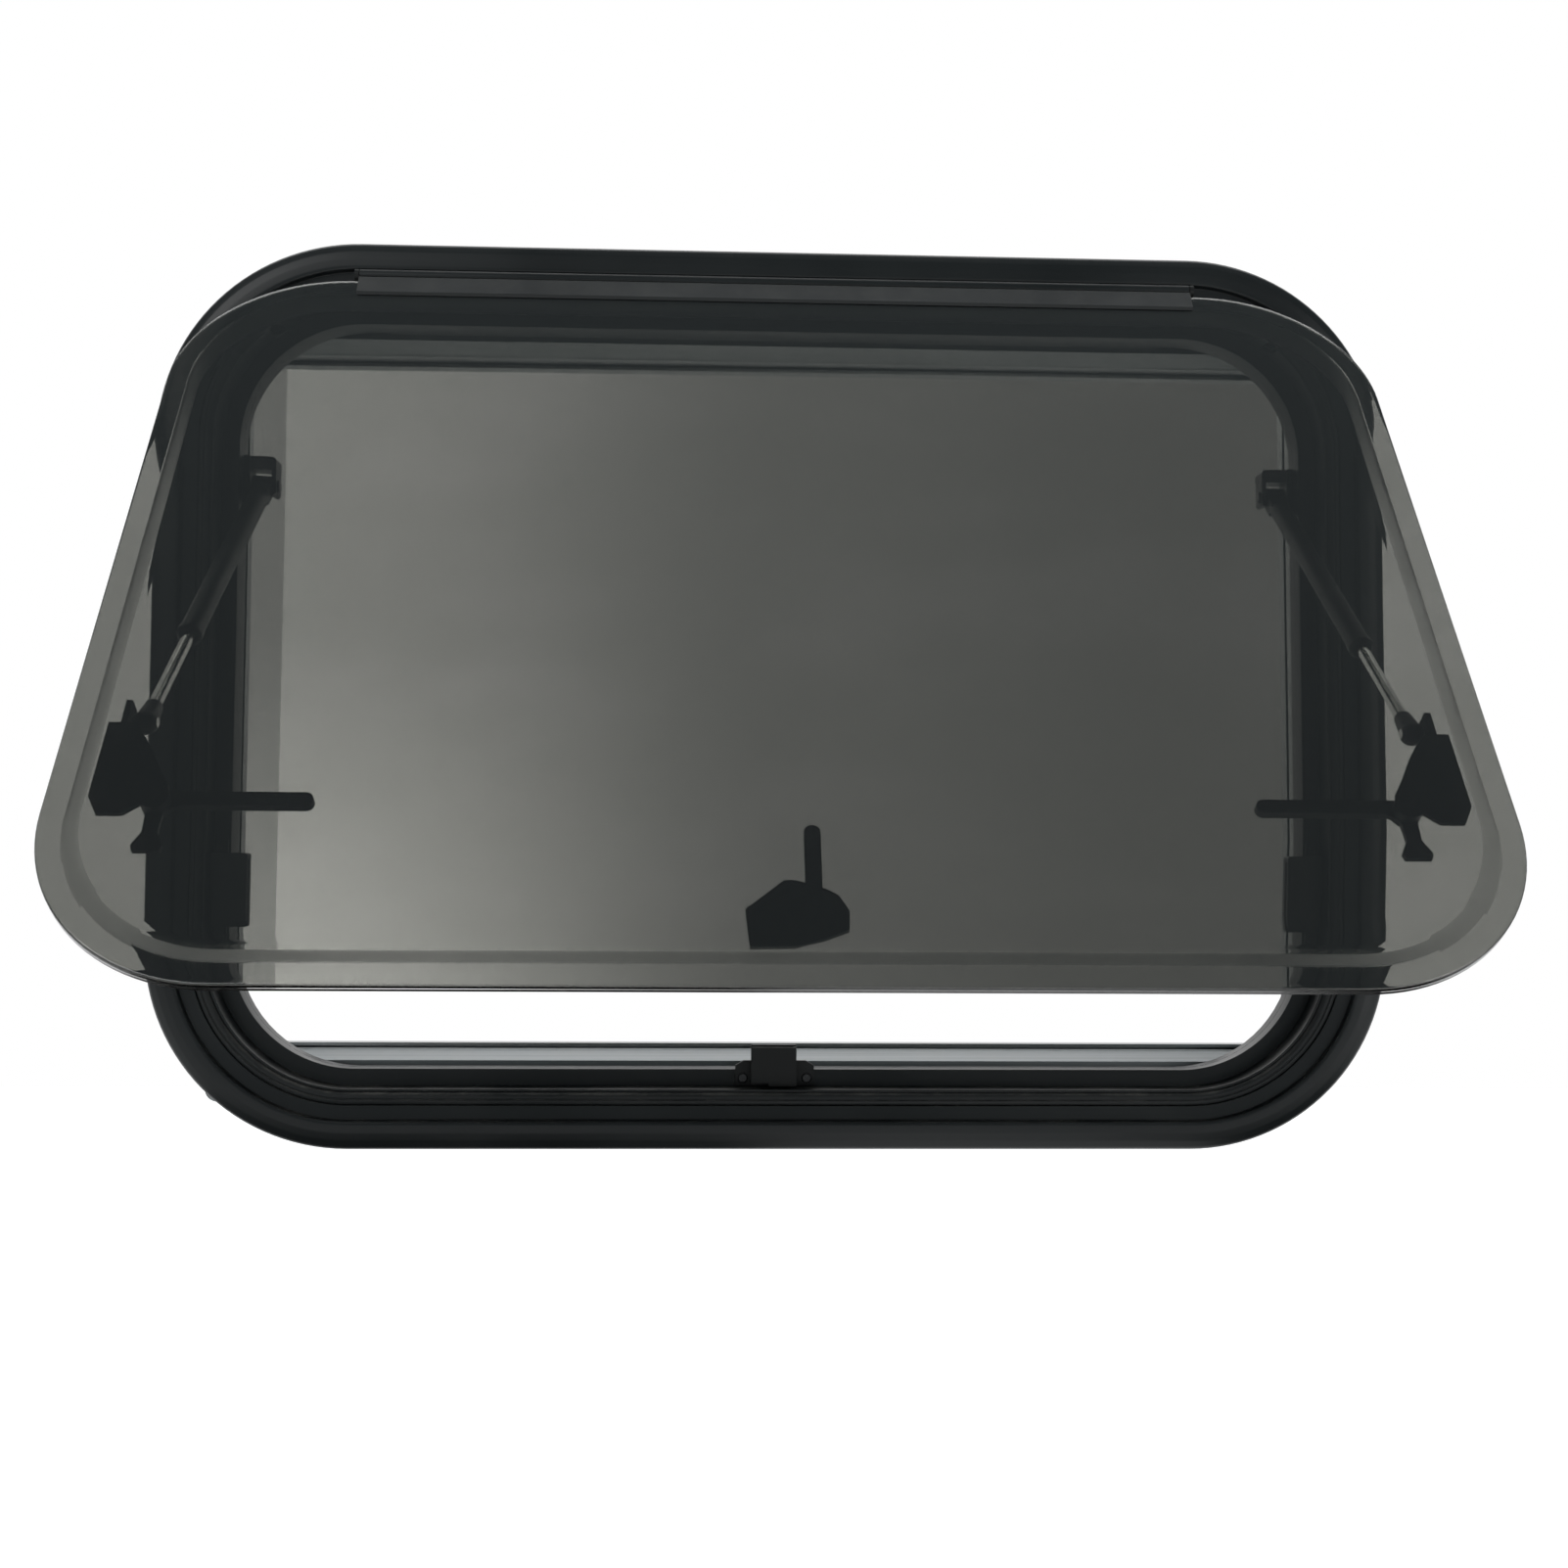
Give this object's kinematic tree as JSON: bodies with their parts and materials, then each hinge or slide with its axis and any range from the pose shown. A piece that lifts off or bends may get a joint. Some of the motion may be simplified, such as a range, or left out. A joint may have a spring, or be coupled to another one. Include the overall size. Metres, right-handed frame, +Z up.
{
  "type": "top-hung hatch window",
  "caption": "Rounded top-hung push-out window with a smoked double pane, telescopic stays, three turn latches, and an inner blind and fly screen unit.",
  "frame": {"origin": "centre of the wall cut-out, on the outer skin of the wall where the flange gasket rests", "axes": "+X right seen from outside, +Y inwards through the wall, +Z up"},
  "size_m": [0.74, 0.3793, 0.54],
  "materials": {
    "black_aluminium": "satin black powder coat",
    "silver_aluminium": "satin silver anodised",
    "seal_rubber": "matt black rubber",
    "gasket_foam": "matt foam",
    "smoked_acrylic": "clear smoked acrylic",
    "black_plastic": "fine-grained black plastic",
    "grey_plastic": "fine-grained grey plastic",
    "steel": "bright steel",
    "dark_steel": "black plated steel",
    "blackout_cloth": "coated blackout cloth",
    "screen_cloth": "fine insect mesh"
  },
  "bodies": {
    "root": {"outer_frame": "black_aluminium", "wall_gasket": "gasket_foam", "main_seal": "seal_rubber", "clamp_frame": "black_plastic", "clamp_screws": "dark_steel", "hinge_rail": "black_aluminium", "hinge_rail_caps": "black_plastic", "catch_left": "black_plastic", "catch_right": "black_plastic", "catch_bottom": "black_plastic", "catch_screws": "dark_steel", "stay_bracket_left": "black_plastic", "stay_bracket_right": "black_plastic", "stay_bracket_pin_left": "steel", "stay_bracket_pin_right": "steel", "stay_bracket_screws": "dark_steel", "unit_spacers": "grey_plastic", "side_rail_left": "silver_aluminium", "side_rail_right": "silver_aluminium", "unit_screws": "steel", "blind_housing": "silver_aluminium", "blind_housing_ends": "grey_plastic", "blind_cloth": "blackout_cloth", "screen_housing": "silver_aluminium", "screen_housing_ends": "grey_plastic", "screen_mesh": "screen_cloth"},
    "pane": {"outer_pane": "smoked_acrylic", "inner_pane": "smoked_acrylic", "vent_plugs": "black_plastic", "pane_hinge_rail": "black_aluminium", "latch_base_left": "black_plastic", "latch_base_right": "black_plastic", "latch_base_bottom": "black_plastic", "latch_base_screws": "dark_steel", "latch_pins": "dark_steel"},
    "blind_bar": {"blind_pull_bar": "silver_aluminium", "blind_bar_guides": "grey_plastic"},
    "screen_bar": {"screen_pull_bar": "silver_aluminium", "screen_bar_guides": "grey_plastic"},
    "blind_roller": {"blind_roller": "silver_aluminium", "blind_roll": "blackout_cloth"},
    "screen_roller": {"screen_roller": "silver_aluminium", "screen_roll": "screen_cloth"},
    "stay_tube_left": {"stay_tube_left": "black_aluminium", "stay_collar_left": "black_plastic"},
    "stay_rod_left": {"stay_rod_left": "steel", "stay_knuckle_left": "black_plastic", "stay_end_pin_left": "steel"},
    "stay_tube_right": {"stay_tube_right": "black_aluminium", "stay_collar_right": "black_plastic"},
    "stay_rod_right": {"stay_rod_right": "steel", "stay_knuckle_right": "black_plastic", "stay_end_pin_right": "steel"},
    "lever_left": {"lever_left": "black_plastic"},
    "button_left": {"button_left": "black_plastic"},
    "lever_right": {"lever_right": "black_plastic"},
    "button_right": {"button_right": "black_plastic"},
    "lever_bottom": {"lever_bottom": "black_plastic"},
    "button_bottom": {"button_bottom": "black_plastic"}
  },
  "joints": [
    {"name": "pane_hinge", "type": "hinge", "parent": "root", "child": "pane", "pos_m": [0, -0.008, 0.249], "axis": [1, 0, 0], "range_deg": [0, 35]},
    {"name": "stay_swing_left", "type": "hinge", "parent": "root", "child": "stay_tube_left", "pos_m": [-0.315, 0.035, 0.128], "axis": [1, 0, 0], "range_deg": [0, 46.83]},
    {"name": "stay_slide_left", "type": "slide", "parent": "stay_tube_left", "child": "stay_rod_left", "axis": [0, -0.8021, -0.5972], "range_m": [-0.05914, 0]},
    {"name": "stay_swing_right", "type": "hinge", "parent": "root", "child": "stay_tube_right", "pos_m": [0.315, 0.035, 0.128], "axis": [1, 0, 0], "range_deg": [0, 46.83]},
    {"name": "stay_slide_right", "type": "slide", "parent": "stay_tube_right", "child": "stay_rod_right", "axis": [0, -0.8021, -0.5972], "range_m": [-0.05914, 0]},
    {"name": "latch_left", "type": "hinge", "parent": "pane", "child": "lever_left", "pos_m": [-0.3, -0.21298, -0.07686], "axis": [0, 0.8192, -0.5736], "range_deg": [0, 90]},
    {"name": "latch_button_left", "type": "slide", "parent": "lever_left", "child": "button_left", "axis": [0, -0.8192, 0.5736], "range_m": [0, 0.0015], "stiffness_N_per_m": 400},
    {"name": "latch_right", "type": "hinge", "parent": "pane", "child": "lever_right", "pos_m": [0.3, -0.21298, -0.07686], "axis": [0, -0.8192, 0.5736], "range_deg": [0, 90]},
    {"name": "latch_button_right", "type": "slide", "parent": "lever_right", "child": "button_right", "axis": [0, -0.8192, 0.5736], "range_m": [0, 0.0015], "stiffness_N_per_m": 400},
    {"name": "latch_bottom", "type": "hinge", "parent": "pane", "child": "lever_bottom", "pos_m": [0.007, -0.24825, -0.12724], "axis": [0, -0.8192, 0.5736], "range_deg": [0, 90]},
    {"name": "latch_button_bottom", "type": "slide", "parent": "lever_bottom", "child": "button_bottom", "axis": [0, -0.8192, 0.5736], "range_m": [0, 0.0015], "stiffness_N_per_m": 400},
    {"name": "blind_pull", "type": "slide", "parent": "root", "child": "blind_bar", "axis": [0, 0, -1], "range_m": [0, 0.42], "deforming": ["blind_cloth"]},
    {"name": "blind_wind", "type": "hinge", "parent": "root", "child": "blind_roller", "pos_m": [0, 0.06, 0.232], "axis": [1, 0, 0], "range_deg": [-2010, 0]},
    {"name": "screen_pull", "type": "slide", "parent": "root", "child": "screen_bar", "axis": [0, 0, 1], "range_m": [0, 0.42], "deforming": ["screen_mesh"]},
    {"name": "screen_wind", "type": "hinge", "parent": "root", "child": "screen_roller", "pos_m": [0, 0.07, -0.232], "axis": [1, 0, 0], "range_deg": [-2010, 0]}
  ],
  "couplings": [
    {"joint": "stay_swing_left", "follows": "pane_hinge", "ratio": 1.3366},
    {"joint": "stay_slide_left", "follows": "pane_hinge", "m_per_rad": -0.096651},
    {"joint": "stay_swing_right", "follows": "pane_hinge", "ratio": 1.3366},
    {"joint": "stay_slide_right", "follows": "pane_hinge", "m_per_rad": -0.096651},
    {"joint": "blind_wind", "follows": "blind_pull", "rad_per_m": -83.333},
    {"joint": "screen_wind", "follows": "screen_pull", "rad_per_m": -83.333}
  ]
}
